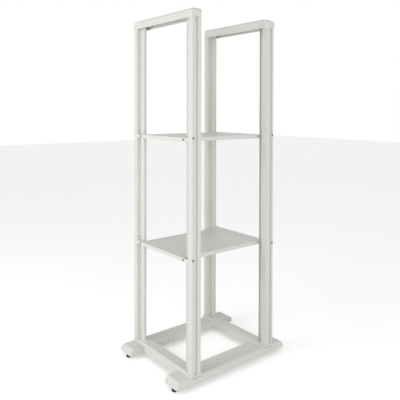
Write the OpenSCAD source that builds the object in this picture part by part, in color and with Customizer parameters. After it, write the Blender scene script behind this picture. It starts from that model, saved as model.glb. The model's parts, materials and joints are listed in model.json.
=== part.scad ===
// Double two post open frame rack, 19 inch, 42 units, in millimetres, +Z up.
// Two portal frames stand on a base of two feet and two cross members.
// Front is -Y. The rear frame is the front frame turned to face the other way.

/* [Rack] */
// mounting height in rack units
units = 42; // [24:1:47]
// width over the top caps
rack_w = 630; // [600:5:760]
// depth over the two portal frames, front face to rear face
rack_d = 622; // [500:5:1000]
// height from the cross member top to the first rack unit
unit_start = 52; // [40:1:90]
// height from the last rack unit to the underside of the cap
unit_end = 34; // [20:1:60]

/* [Mounting rails] */
// height of one rack unit
unit_h = 44.45; // [44.45:0.01:44.45]
// distance between the two hole rows, across the rack
hole_row_w = 465.1; // [465.1:0.1:465.1]
// clear opening between the mounting flanges
opening_w = 450; // [450:0.5:452]
// diameter of a mounting hole
rail_hole_d = 7.2; // [6.4:0.1:9]
// wall of the post and its mounting flange
post_t = 3; // [2:0.5:4]
// set back of the mounting flange behind the outer face of the post
flange_back = 24; // [16:1:30]
// depth of the folded edge of the mounting flange
flange_lip = 12; // [6:1:20]

/* [Posts] */
// width of the closed body of a post
body_w = 36; // [30:1:60]
// depth of a post
body_d = 60; // [50:1:80]
// width of the groove in the outer side of a post
groove_w = 22; // [12:1:26]
// depth of that groove
groove_h = 10; // [4:1:16]
// distance of the groove from the outer face of the post
groove_at = 14; // [10:1:18]
// diameter of the accessory holes, one to a rack unit
side_hole_d = 6; // [4:0.5:8]

/* [Top caps] */
// height of a top cap
cap_h = 54; // [40:1:80]
// drop of the bevel along the top edges of a cap
cap_drop = 14; // [4:1:20]
// width of that bevel
cap_bevel = 24; // [8:1:30]
// depth of a cap
cap_d = 72; // [62:1:90]

/* [Base] */
// length of a foot
foot_l = 800; // [650:10:1100]
// width of a foot
foot_w = 126; // [90:2:140]
// height of a foot
foot_h = 40; // [30:1:60]
// height of the underside of the feet above the floor
foot_z = 24; // [18:1:40]
// bevel along the edges of the base
bevel = 12; // [6:1:18]
// wall of the bent base and cap sheets
sheet_t = 3; // [2:0.5:4]
// diameter of the holes in the inner side of a foot
foot_hole_d = 12; // [8:1:18]
// pitch of those holes
foot_hole_pitch = 62; // [40:1:90]

/* [Shelves] */
// rack unit at which the lower shelf top stands
lower_unit = 13; // [2:1:20]
// rack unit at which the upper shelf top stands
upper_unit = 28; // [22:1:40]
// height of the shelf skirt
skirt_h = 22; // [15:1:40]
// wall of the shelf sheet
shelf_t = 2; // [1.5:0.1:3]
// diameter of a shelf perforation
perf_d = 10; // [6:0.5:14]
// pitch of the perforation rows
perf_pitch = 36; // [24:1:60]
// plain margin of a shelf around its perforations
perf_margin = 30; // [15:1:60]
// height of the hanging strip at each end of a shelf
strip_h = 20; // [14:1:30]

/* [Levelling feet] */
// diameter of a levelling pad
pad_d = 44; // [30:1:60]
// thickness of a levelling pad
pad_h = 14; // [8:1:18]
// diameter of a levelling stud
stud_d = 12; // [8:1:16]
// clearance around a levelling stud in its boss
stud_gap = 0.3; // [0.2:0.1:0.5]

/* [Hidden] */
$fn = 48;
// overshoot of a cutter past the face it opens
OVER = 1;
CAP_X = rack_w / 2;
POST_X = CAP_X - 3;
BODY_X = POST_X - body_w;
CAP_Y = rack_d / 2;
POST_Y = CAP_Y - 3;
FLANGE_Y = POST_Y - flange_back;
FOOT_TOP = foot_z + foot_h;
BASE_TOP = FOOT_TOP + bevel;
UNIT_Z = BASE_TOP + unit_start;
CAP_Z = UNIT_Z + units * unit_h + unit_end;
POST_TOP = CAP_Z + cap_h - cap_drop - sheet_t;
FOOT_X = CAP_X;
FOOT_IN = FOOT_X - foot_w;
LEVEL_X = FOOT_X - foot_w / 2;
LEVEL_Y = foot_l / 2 - 28;
LOWER_Z = UNIT_Z + lower_unit * unit_h;
UPPER_Z = UNIT_Z + upper_unit * unit_h;
// hole heights of one rack unit, from its lower edge
UNIT_HOLES = [6.35, 22.225, 38.1];
SHELF_W = opening_w - 2;
SHELF_D = 2 * POST_Y;
PAINT = [0.85, 0.85, 0.82];
BLACK = [0.08, 0.08, 0.08];
STEEL = [0.7, 0.7, 0.72];

// ---- helpers ----

// a block whose side profile, end profile and plan are all given as outlines
module shaped(side, end, plan, w, d, h) {
  intersection() {
    translate([-w / 2, 0, 0]) rotate([90, 0, 90]) linear_extrude(w) polygon(side);
    translate([0, d / 2, 0]) rotate([90, 0, 0]) linear_extrude(d) polygon(end);
    linear_extrude(h) polygon(plan);
  }
}

// outline across the depth of a cap: low at the outer edge, high at the inner one
function cap_side(g, d, h) = [
  [g, 0], [d - g, 0], [d - g, h - cap_drop / 2 - g], [d - g - cap_drop / 2, h - g],
  [cap_bevel + g / 2, h - g], [g, h - cap_drop - g / 2]];
// outline along the width of a cap, bevelled at both ends
function cap_end(g, w, h) = [
  [-w / 2 + g, 0], [w / 2 - g, 0], [w / 2 - g, h - cap_drop - g / 2],
  [w / 2 - cap_bevel - g / 2, h - g], [-w / 2 + cap_bevel + g / 2, h - g],
  [-w / 2 + g, h - cap_drop - g / 2]];
// plan of a cap, its inner corners cut
function cap_plan(g, w, d) = [
  [-w / 2 + g, g], [w / 2 - g, g], [w / 2 - g, d - cap_drop - g / 2],
  [w / 2 - cap_drop - g / 2, d - g], [-w / 2 + cap_drop + g / 2, d - g],
  [-w / 2 + g, d - cap_drop - g / 2]];

module cap_block(g) {
  shaped(cap_side(g, cap_d, cap_h), cap_end(g, rack_w, cap_h),
    cap_plan(g, rack_w, cap_d), rack_w, 3 * cap_d, cap_h);
}

// front cap, open below, its outer face at -CAP_Y
module top_cap() {
  translate([0, -CAP_Y, CAP_Z]) difference() {
    cap_block(0);
    translate([0, 0, -EPS]) cap_block(sheet_t);
  }
}
EPS = 0.01;

// plan outline of a front right post, y from its outer face inwards
module post_outline() {
  difference() {
    translate([BODY_X, 0]) square([body_w, body_d]);
    translate([BODY_X + post_t, post_t]) square([body_w - 2 * post_t, body_d - 2 * post_t]);
    translate([POST_X - groove_h, groove_at]) square([groove_h + OVER, groove_w]);
  }
  difference() {
    translate([POST_X - groove_h - post_t, groove_at - post_t])
      square([groove_h + post_t, groove_w + 2 * post_t]);
    translate([POST_X - groove_h, groove_at]) square([groove_h + OVER, groove_w]);
  }
  translate([opening_w / 2, flange_back]) square([BODY_X - opening_w / 2 + EPS, post_t]);
  translate([opening_w / 2, flange_back]) square([post_t, flange_lip]);
}

// front right post, standing on the cross member
module post() {
  difference() {
    translate([0, -POST_Y, BASE_TOP]) linear_extrude(POST_TOP - BASE_TOP) post_outline();
    for (u = [0:units - 1], h = UNIT_HOLES)
      translate([hole_row_w / 2, -FLANGE_Y - OVER, UNIT_Z + u * unit_h + h])
        rotate([-90, 0, 0]) cylinder(d = rail_hole_d, h = post_t + 2 * OVER);
    for (u = [0:units - 1])
      translate([BODY_X - OVER, -POST_Y + flange_back / 2, UNIT_Z + (u + 0.5) * unit_h])
        rotate([0, 90, 0]) cylinder(d = side_hole_d, h = post_t + 2 * OVER);
  }
}

// right foot
module foot() {
  outer = [[FOOT_IN, foot_z], [FOOT_X, foot_z], [FOOT_X, FOOT_TOP - bevel],
    [FOOT_X - bevel, FOOT_TOP], [FOOT_IN, FOOT_TOP]];
  inner = [[FOOT_IN + sheet_t, foot_z - OVER], [FOOT_X - sheet_t, foot_z - OVER],
    [FOOT_X - sheet_t, FOOT_TOP - bevel - sheet_t / 2],
    [FOOT_X - bevel - sheet_t / 2, FOOT_TOP - sheet_t], [FOOT_IN + sheet_t, FOOT_TOP - sheet_t]];
  nose = bevel * 1.5;
  difference() {
    intersection() {
      translate([0, foot_l / 2, 0]) rotate([90, 0, 0]) linear_extrude(foot_l) polygon(outer);
      rotate([90, 0, 90]) linear_extrude(FOOT_X) polygon([
        [-foot_l / 2, foot_z], [foot_l / 2, foot_z], [foot_l / 2, FOOT_TOP - nose],
        [foot_l / 2 - nose, FOOT_TOP], [-foot_l / 2 + nose, FOOT_TOP], [-foot_l / 2, FOOT_TOP - nose]]);
    }
    intersection() {
      translate([0, foot_l / 2, 0]) rotate([90, 0, 0]) linear_extrude(foot_l) polygon(inner);
      rotate([90, 0, 90]) linear_extrude(FOOT_X) polygon([
        [-foot_l / 2 + sheet_t, foot_z - OVER], [foot_l / 2 - sheet_t, foot_z - OVER],
        [foot_l / 2 - sheet_t, FOOT_TOP - nose - sheet_t / 2],
        [foot_l / 2 - nose - sheet_t / 2, FOOT_TOP - sheet_t],
        [-foot_l / 2 + nose + sheet_t / 2, FOOT_TOP - sheet_t],
        [-foot_l / 2 + sheet_t, FOOT_TOP - nose - sheet_t / 2]]);
    }
    for (i = [-3.5:3.5])
      translate([FOOT_IN - OVER, i * foot_hole_pitch, foot_z + foot_h / 2])
        rotate([0, 90, 0]) cylinder(d = foot_hole_d, h = sheet_t + 2 * OVER);
  }
  for (s = [-1, 1]) translate([LEVEL_X, s * LEVEL_Y, 0]) difference() {
    translate([0, 0, FOOT_TOP - sheet_t - 20]) cylinder(d = 2 * stud_d, h = 20 + EPS);
    translate([0, 0, FOOT_TOP - sheet_t - 20 - OVER])
      cylinder(d = stud_d + 2 * stud_gap, h = 20 + OVER);
  }
}

// front cross member, bridging the feet with its ends
module cross_member() {
  h = BASE_TOP - foot_z;
  difference() {
    translate([0, -CAP_Y, foot_z]) difference() {
      shaped([[0, 0], [cap_d, 0], [cap_d, h], [bevel, h], [0, h - bevel]],
        [[-CAP_X, 0], [CAP_X, 0], [CAP_X, h - bevel / 2], [CAP_X - bevel / 2, h],
        [-CAP_X + bevel / 2, h], [-CAP_X, h - bevel / 2]],
        [[-CAP_X, 0], [CAP_X, 0], [CAP_X, cap_d], [-CAP_X, cap_d]], rack_w, 3 * cap_d, h);
      translate([0, 0, -EPS]) shaped([[sheet_t, 0], [cap_d - sheet_t, 0], [cap_d - sheet_t, h - sheet_t],
        [bevel + sheet_t / 2, h - sheet_t], [sheet_t, h - bevel - sheet_t / 2]],
        [[-CAP_X + sheet_t, 0], [CAP_X - sheet_t, 0], [CAP_X - sheet_t, h - bevel / 2 - sheet_t],
        [CAP_X - bevel / 2 - sheet_t, h - sheet_t],
        [-CAP_X + bevel / 2 + sheet_t, h - sheet_t], [-CAP_X + sheet_t, h - bevel / 2 - sheet_t]],
        [[-CAP_X, 0], [CAP_X, 0], [CAP_X, cap_d], [-CAP_X, cap_d]], rack_w, 3 * cap_d, h);
    }
    for (s = [-1, 1]) translate([s * (FOOT_IN + foot_w / 2 + OVER / 2), -CAP_Y + cap_d / 2,
      foot_z + foot_h / 2 - OVER / 2])
      cube([foot_w + OVER, cap_d + 2 * OVER, foot_h + OVER], center = true);
  }
}

// shelf tray, its top at z
module shelf(z) {
  translate([-SHELF_W / 2, -SHELF_D / 2, z - skirt_h]) difference() {
    cube([SHELF_W, SHELF_D, skirt_h]);
    translate([shelf_t, shelf_t, -OVER])
      cube([SHELF_W - 2 * shelf_t, SHELF_D - 2 * shelf_t, skirt_h - shelf_t + OVER]);
    for (i = [0:PERF_NX - 1], j = [0:PERF_NY - 1])
      translate([SHELF_W / 2 + (i - (PERF_NX - 1) / 2) * perf_pitch,
        SHELF_D / 2 + (j - (PERF_NY - 1) / 2) * perf_pitch / 2 + (i % 2) * 0, skirt_h - shelf_t - OVER])
        if ((i + j) % 2 == 0) cylinder(d = perf_d, h = shelf_t + 2 * OVER);
  }
}
PERF_NX = floor((SHELF_W - 2 * perf_margin) / perf_pitch) + 1;
PERF_NY = floor((SHELF_D - 2 * perf_margin) / (perf_pitch / 2)) + 1;

// hanging strip at the front end of a shelf, across both posts
module shelf_strip(z) {
  translate([-POST_X, -POST_Y - shelf_t, z - strip_h]) cube([2 * POST_X, shelf_t, strip_h]);
}

module leveller_pad() {
  translate([LEVEL_X, -LEVEL_Y, 0]) {
    cylinder(d = pad_d, h = pad_h / 2);
    translate([0, 0, pad_h / 2]) cylinder(d1 = pad_d, d2 = pad_d * 0.6, h = pad_h / 2);
  }
}

module leveller_stud() {
  translate([LEVEL_X, -LEVEL_Y, pad_h]) cylinder(d = stud_d, h = FOOT_TOP - sheet_t - pad_h);
}

// ---- sub-parts ----

module foot_left() { color(PAINT) mirror([1, 0, 0]) foot(); }
module foot_right() { color(PAINT) foot(); }
module cross_member_front() { color(PAINT) cross_member(); }
module cross_member_rear() { color(PAINT) mirror([0, 1, 0]) cross_member(); }
module post_front_left() { color(PAINT) mirror([1, 0, 0]) post(); }
module post_front_right() { color(PAINT) post(); }
module post_rear_left() { color(PAINT) mirror([1, 0, 0]) mirror([0, 1, 0]) post(); }
module post_rear_right() { color(PAINT) mirror([0, 1, 0]) post(); }
module top_cap_front() { color(PAINT) top_cap(); }
module top_cap_rear() { color(PAINT) mirror([0, 1, 0]) top_cap(); }
module shelf_lower() { color(PAINT) shelf(LOWER_Z); }
module shelf_upper() { color(PAINT) shelf(UPPER_Z); }
module shelf_strip_lower_front() { color(PAINT) shelf_strip(LOWER_Z); }
module shelf_strip_lower_rear() { color(PAINT) mirror([0, 1, 0]) shelf_strip(LOWER_Z); }
module shelf_strip_upper_front() { color(PAINT) shelf_strip(UPPER_Z); }
module shelf_strip_upper_rear() { color(PAINT) mirror([0, 1, 0]) shelf_strip(UPPER_Z); }
module leveller_pad_front_left() { color(BLACK) mirror([1, 0, 0]) leveller_pad(); }
module leveller_pad_front_right() { color(BLACK) leveller_pad(); }
module leveller_pad_rear_left() { color(BLACK) mirror([1, 0, 0]) mirror([0, 1, 0]) leveller_pad(); }
module leveller_pad_rear_right() { color(BLACK) mirror([0, 1, 0]) leveller_pad(); }
module leveller_stud_front_left() { color(STEEL) mirror([1, 0, 0]) leveller_stud(); }
module leveller_stud_front_right() { color(STEEL) leveller_stud(); }
module leveller_stud_rear_left() { color(STEEL) mirror([1, 0, 0]) mirror([0, 1, 0]) leveller_stud(); }
module leveller_stud_rear_right() { color(STEEL) mirror([0, 1, 0]) leveller_stud(); }

foot_left();
foot_right();
cross_member_front();
cross_member_rear();
post_front_left();
post_front_right();
post_rear_left();
post_rear_right();
top_cap_front();
top_cap_rear();
shelf_lower();
shelf_upper();
shelf_strip_lower_front();
shelf_strip_lower_rear();
shelf_strip_upper_front();
shelf_strip_upper_rear();
leveller_pad_front_left();
leveller_pad_front_right();
leveller_pad_rear_left();
leveller_pad_rear_right();
leveller_stud_front_left();
leveller_stud_front_right();
leveller_stud_rear_left();
leveller_stud_rear_right();
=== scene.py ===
# %% [markdown]
# # A double two post open frame rack, dressed for its picture
#
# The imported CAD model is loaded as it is, then gets its finishes and its screws.
# The camera, the floor and the lights come last.

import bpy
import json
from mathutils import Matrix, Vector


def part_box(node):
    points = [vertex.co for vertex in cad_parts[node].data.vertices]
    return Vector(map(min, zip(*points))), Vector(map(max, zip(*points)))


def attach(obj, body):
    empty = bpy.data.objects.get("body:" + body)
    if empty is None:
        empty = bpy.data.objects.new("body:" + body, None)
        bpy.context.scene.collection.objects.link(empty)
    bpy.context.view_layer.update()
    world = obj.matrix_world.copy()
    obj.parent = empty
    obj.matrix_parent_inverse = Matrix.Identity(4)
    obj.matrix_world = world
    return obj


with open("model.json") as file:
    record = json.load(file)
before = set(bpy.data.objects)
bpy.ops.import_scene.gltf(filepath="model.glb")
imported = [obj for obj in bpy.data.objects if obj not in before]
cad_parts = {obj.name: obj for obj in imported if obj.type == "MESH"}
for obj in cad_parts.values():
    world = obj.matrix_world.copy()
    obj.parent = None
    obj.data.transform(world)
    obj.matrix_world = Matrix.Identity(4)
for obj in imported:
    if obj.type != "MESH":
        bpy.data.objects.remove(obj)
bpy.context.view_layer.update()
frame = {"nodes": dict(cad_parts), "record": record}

# %% Modules and units
import json
import math

import bmesh
import bpy
from mathutils import Matrix, Vector

MM = 0.001
scene = bpy.context.scene

# %% [markdown]
# ## Colours
#
# Every colour is written as the sRGB value that a colour picker shows, and goes through one
# function to the linear value that the shader wants.

# %% Colour helper
def linear(hex_code):
    channels = [int(hex_code[i:i + 2], 16) / 255 for i in (1, 3, 5)]
    return tuple(c / 12.92 if c <= 0.04045 else ((c + 0.055) / 1.055) ** 2.4 for c in channels) + (1.0,)


PAINT_GREY = "#DEDDD8"
PAD_BLACK = "#1C1C1D"
ZINC = "#B9BBBD"
print("paint, linear:", [round(c, 3) for c in linear(PAINT_GREY)])

# %% [markdown]
# ## A small helper for shader nodes
#
# One function adds a node with its settings and its links, so that each material below reads
# as a list of steps.

# %% Node helper
def add_node(tree, kind, inputs=None, **settings):
    node = tree.nodes.new(kind)
    for name, value in settings.items():
        setattr(node, name, value)
    for name, value in (inputs or {}).items():
        socket = node.inputs[name]
        if isinstance(value, bpy.types.NodeSocket):
            tree.links.new(value, socket)
        else:
            socket.default_value = value
    return node


def new_material(name):
    material = bpy.data.materials.new(name)
    material.use_nodes = True
    return material, material.node_tree, material.node_tree.nodes["Principled BSDF"]


# %% [markdown]
# ## Powder-coated steel
#
# Powder coat is a thick satin paint. Its surface has a fine orange peel, with bumps about
# 1.5 mm apart and only a few hundredths of a millimetre high. The bent edges of the sheet are
# rounded to a little under a millimetre, which the shader does without touching the mesh.

# %% Powder coat
ORANGE_PEEL_PITCH = 1.5 * MM
PEEL_HEIGHT = 0.05 * MM
EDGE_RADIUS = 0.8 * MM

powder_coat, tree, shader = new_material("powder-coated steel")
shader.inputs["Base Color"].default_value = linear(PAINT_GREY)
shader.inputs["Roughness"].default_value = 0.42
shader.inputs["IOR"].default_value = 1.5
place = add_node(tree, "ShaderNodeTexCoord")
peel = add_node(tree, "ShaderNodeTexNoise", {"Vector": place.outputs["Object"],
    "Scale": 1 / ORANGE_PEEL_PITCH, "Detail": 1.0})
round_edge = add_node(tree, "ShaderNodeBevel", {"Radius": EDGE_RADIUS}, samples=6)
bump = add_node(tree, "ShaderNodeBump", {"Height": peel.outputs["Fac"], "Strength": 0.05,
    "Distance": PEEL_HEIGHT, "Normal": round_edge.outputs["Normal"]})
tree.links.new(bump.outputs["Normal"], shader.inputs["Normal"])
print("made", powder_coat.name)

# %% [markdown]
# ## Black plastic and zinc-plated steel
#
# The levelling pads are moulded nylon with a dull surface. The studs are zinc-plated. The screw heads are
# near-black steel, a colour that is painted shade of the recess around them.

# %% Pad plastic
pad_plastic, tree, shader = new_material("black nylon")
shader.inputs["Base Color"].default_value = linear(PAD_BLACK)
shader.inputs["Roughness"].default_value = 0.55
shader.inputs["IOR"].default_value = 1.53

# %% Zinc
zinc, tree, shader = new_material("zinc-plated steel")
shader.inputs["Base Color"].default_value = linear(ZINC)
shader.inputs["Metallic"].default_value = 1.0
shader.inputs["Roughness"].default_value = 0.35

# %% Screw steel
# Near-black screw colour: painted shade of the shadowed recess around each screw head.
recess_shade_screw_steel, tree, shader = new_material("screw steel darkened as painted shade")
shader.inputs["Base Color"].default_value = linear("#26262A")
shader.inputs["Metallic"].default_value = 1.0
shader.inputs["Roughness"].default_value = 0.45
print("made", zinc.name, "and", recess_shade_screw_steel.name)

# %% Put the materials on the frame
SLOT_MATERIAL = {"powder_coat": powder_coat, "black_plastic": pad_plastic, "zinc_steel": zinc}
slot_of = {part["node"]: part["material_slot"] for part in frame["record"]["subparts"]}
for name, node in frame["nodes"].items():
    node.data.materials.clear()
    node.data.materials.append(SLOT_MATERIAL[slot_of[name]])
print("materials on", len(frame["nodes"]), "nodes")

# %% [markdown]
# ## Screws
#
# M6 button-head screws hold each shelf. One goes through each end of a mounting strip, on the
# row of 19 inch holes. Another goes through the outer side of each post, on the narrow land in
# front of the groove. The head is turned from a short profile, with its socket sunk in the middle.

# %% One screw head
HEAD_R = 5.25 * MM
HEAD_H = 2.8 * MM
SOCKET_R = 2.3 * MM
SOCKET_DEEP = 1.6 * MM
HEAD_STEPS = 24


def screw_head(name, spot, axis):
    profile = [(0, HEAD_H - SOCKET_DEEP), (SOCKET_R, HEAD_H - SOCKET_DEEP), (SOCKET_R, HEAD_H),
        (0.6 * HEAD_R, HEAD_H), (0.9 * HEAD_R, 0.65 * HEAD_H), (HEAD_R, 0.25 * HEAD_H), (HEAD_R, 0), (0, 0)]
    mesh = bpy.data.meshes.new(name)
    shape = bmesh.new()
    points = [shape.verts.new((x, 0, z)) for x, z in profile]
    edges = [shape.edges.new(pair) for pair in zip(points, points[1:])]
    bmesh.ops.spin(shape, geom=points + edges, cent=(0, 0, 0), axis=(0, 0, 1),
        angle=2 * math.pi, steps=HEAD_STEPS, use_duplicate=False)
    bmesh.ops.remove_doubles(shape, verts=shape.verts, dist=0.01 * MM)
    bmesh.ops.recalc_face_normals(shape, faces=shape.faces)
    turn = Vector(axis).to_track_quat("Z", "Y").to_matrix().to_4x4()
    shape.transform(Matrix.Translation(spot) @ turn)
    shape.to_mesh(mesh)
    shape.free()
    # The head takes the darkened screw steel, whose dark colour is painted shade.
    mesh.materials.append(recess_shade_screw_steel)
    head = bpy.data.objects.new(name, mesh)
    scene.collection.objects.link(head)
    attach(head, "root")
    return head


# %% All the shelf screws
HOLE_ROW = 465.1 / 2 * MM
LAND_FROM_EDGE = 7.5 * MM
screws = []
for level in ("lower", "upper"):
    for end, y_side in (("front", -1), ("rear", 1)):
        low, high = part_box(f"shelf_strip_{level}_{end}")
        strip_mid = (low[2] + high[2]) / 2
        strip_face = max(abs(low[1]), abs(high[1]))
        for hand, x_side in (("left", -1), ("right", 1)):
            screws.append(screw_head(f"strip_screw_{level}_{end}_{hand}",
                (x_side * HOLE_ROW, y_side * strip_face, strip_mid), (0, y_side, 0)))
            low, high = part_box(f"post_{end}_{hand}")
            post_side = max(abs(low[0]), abs(high[0]))
            post_face = max(abs(low[1]), abs(high[1]))
            shelf_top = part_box(f"shelf_{level}")[1][2]
            screws.append(screw_head(f"side_screw_{level}_{end}_{hand}",
                (x_side * post_side, y_side * (post_face - LAND_FROM_EDGE), shelf_top), (x_side, 0, 0)))
print("screws:", len(screws))

# %% [markdown]
# ## Floor and backdrop
#
# The rack stands on a plain white floor. The camera sees the world as white, while the light
# that it sheds stays soft. The floor is lifted a little for the camera alone, so that it meets
# the white behind it without a line and still takes the shadow of the rack.

# %% Floor
FLOOR_HALF = 20.0
FLOOR_LIFT = 0.4

floor_mesh = bpy.data.meshes.new("floor")
corners = [(x * FLOOR_HALF, y * FLOOR_HALF, 0) for x, y in ((-1, -1), (1, -1), (1, 1), (-1, 1))]
floor_mesh.from_pydata(corners, [], [(0, 1, 2, 3)])
floor = bpy.data.objects.new("floor", floor_mesh)
scene.collection.objects.link(floor)
floor_paper, tree, shader = new_material("white studio paper")
shader.inputs["Base Color"].default_value = linear("#F4F4F4")
shader.inputs["Roughness"].default_value = 0.9
shader.inputs["Emission Color"].default_value = (1, 1, 1, 1)
path = add_node(tree, "ShaderNodeLightPath")
lift = add_node(tree, "ShaderNodeMath", {0: path.outputs["Is Camera Ray"], 1: FLOOR_LIFT},
    operation="MULTIPLY")
tree.links.new(lift.outputs[0], shader.inputs["Emission Strength"])
floor_mesh.materials.append(floor_paper)
print("floor side:", 2 * FLOOR_HALF, "m")

# %% World
SOFT_LIGHT = 0.5

world = bpy.data.worlds.new("studio")
scene.world = world
world.use_nodes = True
tree = world.node_tree
tree.nodes.clear()
path = add_node(tree, "ShaderNodeLightPath")
seen = add_node(tree, "ShaderNodeMath", {0: path.outputs["Is Camera Ray"],
    1: path.outputs["Is Glossy Ray"]}, operation="MAXIMUM")
seen = add_node(tree, "ShaderNodeMath", {0: seen.outputs[0],
    1: path.outputs["Is Transmission Ray"]}, operation="MAXIMUM")
soft = add_node(tree, "ShaderNodeBackground", {"Color": (1, 1, 1, 1), "Strength": SOFT_LIGHT})
white = add_node(tree, "ShaderNodeBackground", {"Color": (1, 1, 1, 1), "Strength": 1.0})
choose = add_node(tree, "ShaderNodeMixShader", {0: seen.outputs[0], 1: soft.outputs[0], 2: white.outputs[0]})
add_node(tree, "ShaderNodeOutputWorld", {"Surface": choose.outputs[0]})
print("soft light strength:", SOFT_LIGHT)

# %% [markdown]
# ## Lights
#
# One large soft light stands in front of the rack at chest height, and a weaker one on its right,
# so that the upright faces are brighter than the tops of the shelves and feet.

# %% Lights
def area_light(name, spot, target, size, watts):
    data = bpy.data.lights.new(name, "AREA")
    data.shape = "SQUARE"
    data.size = size
    data.energy = watts
    light = bpy.data.objects.new(name, data)
    light.location = spot
    light.rotation_euler = (Vector(target) - Vector(spot)).to_track_quat("-Z", "Y").to_euler()
    scene.collection.objects.link(light)
    return light


RACK_MIDDLE = (0, 0, 1.0)
LIGHT_SIZE = 2.2
FRONT_SPOT, FRONT_WATTS = (-0.6, -3.6, 1.5), 62
RIGHT_SPOT, RIGHT_WATTS = (3.8, -0.6, 1.5), 50
area_light("front soft light", FRONT_SPOT, RACK_MIDDLE, LIGHT_SIZE, FRONT_WATTS)
area_light("right soft light", RIGHT_SPOT, RACK_MIDDLE, LIGHT_SIZE, RIGHT_WATTS)
print("lights:", FRONT_WATTS, "and", RIGHT_WATTS, "watts")

# %% [markdown]
# ## Camera
#
# The camera stands to the rack's front right, about a head's height above the floor. It looks
# almost level, and the frame is shifted down to hold the whole rack, so the posts stay upright.

# %% Camera
CAMERA_SPOT = (2521.6 * MM, -1901.2 * MM, 1525.6 * MM)
LOOK_AZIMUTH = math.radians(48.89)
LOOK_DOWN = math.radians(0.94)
ROLL = math.radians(0.20)
FILM_WIDTH = 36
FOCAL_OVER_WIDTH = 1.25775
SHIFT_RIGHT = -0.09775
SHIFT_UP = -0.20375
FAR_ENOUGH = 100

camera_data = bpy.data.cameras.new("camera")
camera = bpy.data.objects.new("camera", camera_data)
scene.collection.objects.link(camera)
right = Vector((math.cos(LOOK_AZIMUTH), math.sin(LOOK_AZIMUTH), 0))
ahead = Vector((-math.sin(LOOK_AZIMUTH), math.cos(LOOK_AZIMUTH), 0))
up = Vector((0, 0, 1))
look = ahead * math.cos(LOOK_DOWN) - up * math.sin(LOOK_DOWN)
top = up * math.cos(LOOK_DOWN) + ahead * math.sin(LOOK_DOWN)
side = right * math.cos(ROLL) + top * math.sin(ROLL)
top = top * math.cos(ROLL) - right * math.sin(ROLL)
camera.matrix_world = Matrix((
    (side.x, top.x, -look.x, CAMERA_SPOT[0]),
    (side.y, top.y, -look.y, CAMERA_SPOT[1]),
    (side.z, top.z, -look.z, CAMERA_SPOT[2]),
    (0, 0, 0, 1)))
camera_data.sensor_width = FILM_WIDTH
camera_data.lens = FOCAL_OVER_WIDTH * FILM_WIDTH
camera_data.shift_x = SHIFT_RIGHT
camera_data.shift_y = SHIFT_UP
camera_data.clip_end = FAR_ENOUGH
scene.camera = camera
scene.view_settings.view_transform = "Standard"
print("lens:", round(camera_data.lens, 1), "mm")
